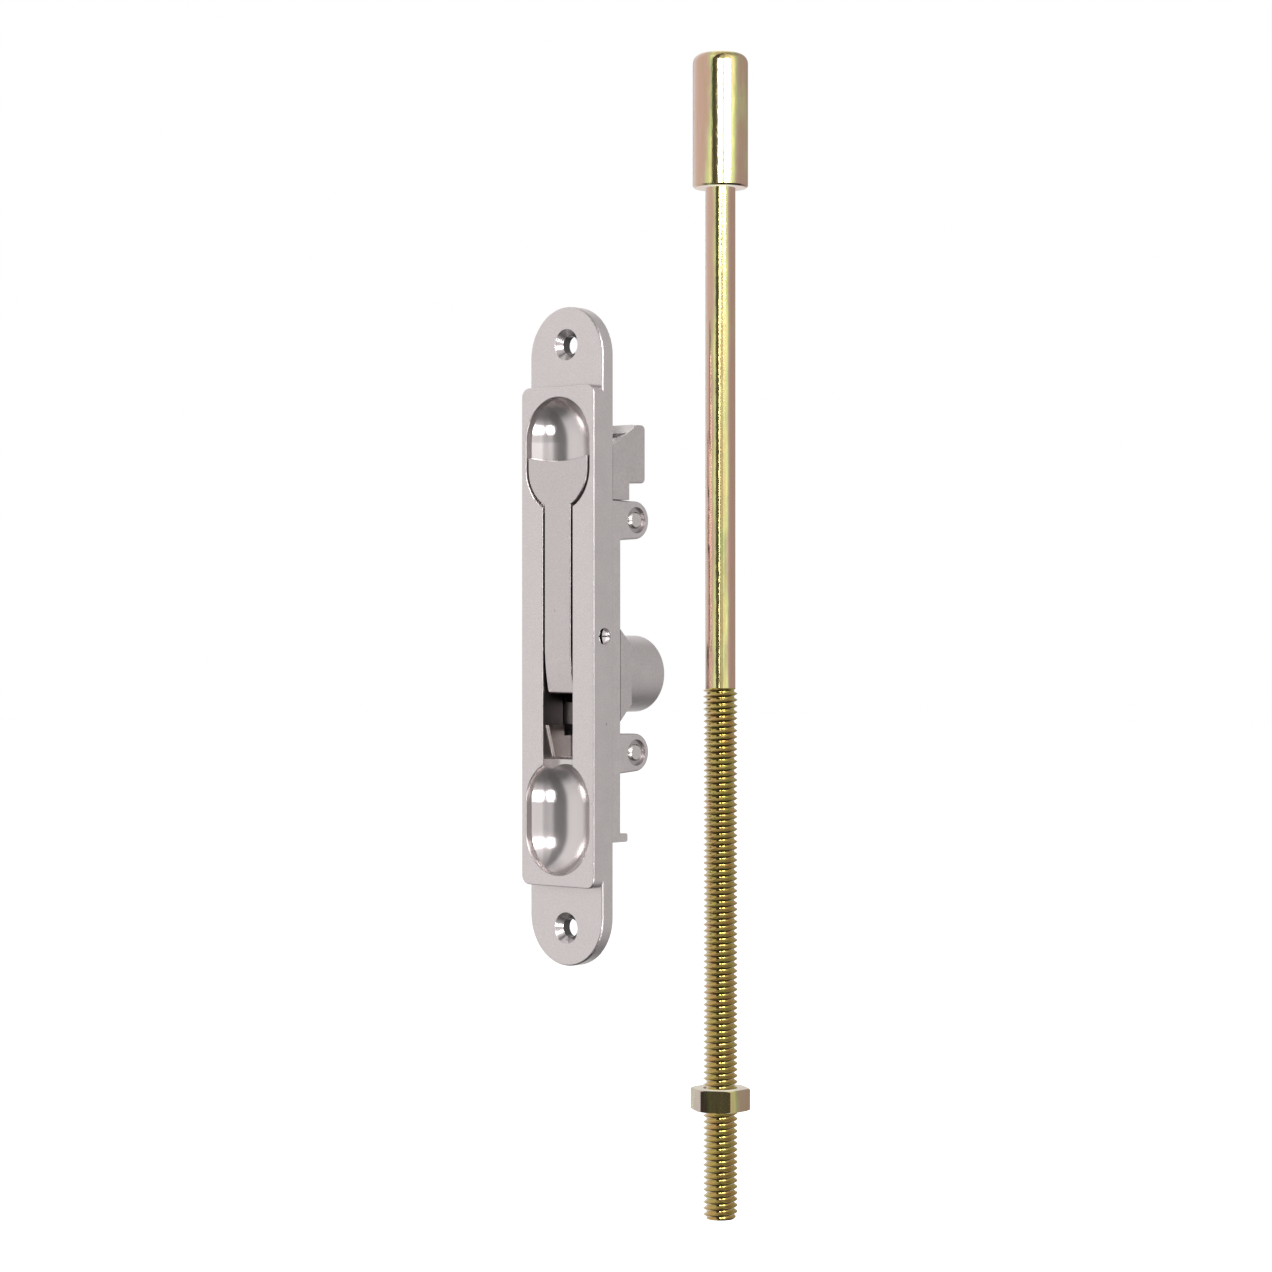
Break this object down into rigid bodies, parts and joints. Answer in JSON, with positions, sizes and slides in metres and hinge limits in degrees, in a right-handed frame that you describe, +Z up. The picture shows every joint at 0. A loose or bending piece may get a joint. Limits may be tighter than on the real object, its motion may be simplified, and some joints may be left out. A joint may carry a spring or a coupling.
{
  "type": "lever flush bolt with extension rod",
  "caption": "Slim cast case let into a door edge, with a flip lever between two finger scoops, a rear slide with a round cup, and a long threaded bolt rod with its nut.",
  "frame": {"origin": "midway between the two fixing screw holes, on the back plane of the end tongues, where they seat on the door edge", "axes": "+Z up along the face plate and the bolt rod, +Y into the door, -Y out of the face, +X to the right of the face"},
  "size_m": [0.0485, 0.0289, 0.2667],
  "materials": {
    "satin_case": "satin nickel plate on a die casting, with polished scoops",
    "satin_lever": "satin nickel plate on a die casting",
    "satin_slide": "satin nickel plate, as cast",
    "bright_pin": "turned ends, bright",
    "spring_steel": "smooth spring strip",
    "yellow_zinc_rod": "yellow chromated zinc plate, iridescent",
    "yellow_zinc_head": "yellow chromated zinc plate, iridescent",
    "yellow_zinc_nut": "yellow chromated zinc plate, iridescent"
  },
  "bodies": {
    "case": {"case": "satin_case", "pivot_pin": "bright_pin", "upper_guide_pin": "bright_pin", "lower_guide_pin": "bright_pin", "lever_spring": "spring_steel"},
    "lever": {"lever": "satin_lever"},
    "slide": {"slide": "satin_slide"},
    "rod": {"bolt_rod": "yellow_zinc_rod", "bolt_head": "yellow_zinc_head"},
    "nut": {"jam_nut": "yellow_zinc_nut"}
  },
  "joints": [
    {"name": "slide_travel", "type": "slide", "parent": "case", "child": "slide", "axis": [0, 0, 1], "range_m": [0, 0.0166]},
    {"name": "lever_flip", "type": "hinge", "parent": "case", "child": "lever", "pos_m": [0, -0.0029, 0], "axis": [1, 0, 0], "range_deg": [0, 171]},
    {"name": "rod_adjust", "type": "slide", "parent": "slide", "child": "rod", "axis": [0, 0, 1], "range_m": [0, 0.025]},
    {"name": "nut_spin", "type": "hinge", "parent": "rod", "child": "nut", "pos_m": [0.03065, 0.0155, -0.1059], "axis": [0, 0, 1], "continuous": true}
  ],
  "couplings": [
    {"joint": "lever_flip", "follows": "slide_travel", "rad_per_m": 179.79}
  ]
}
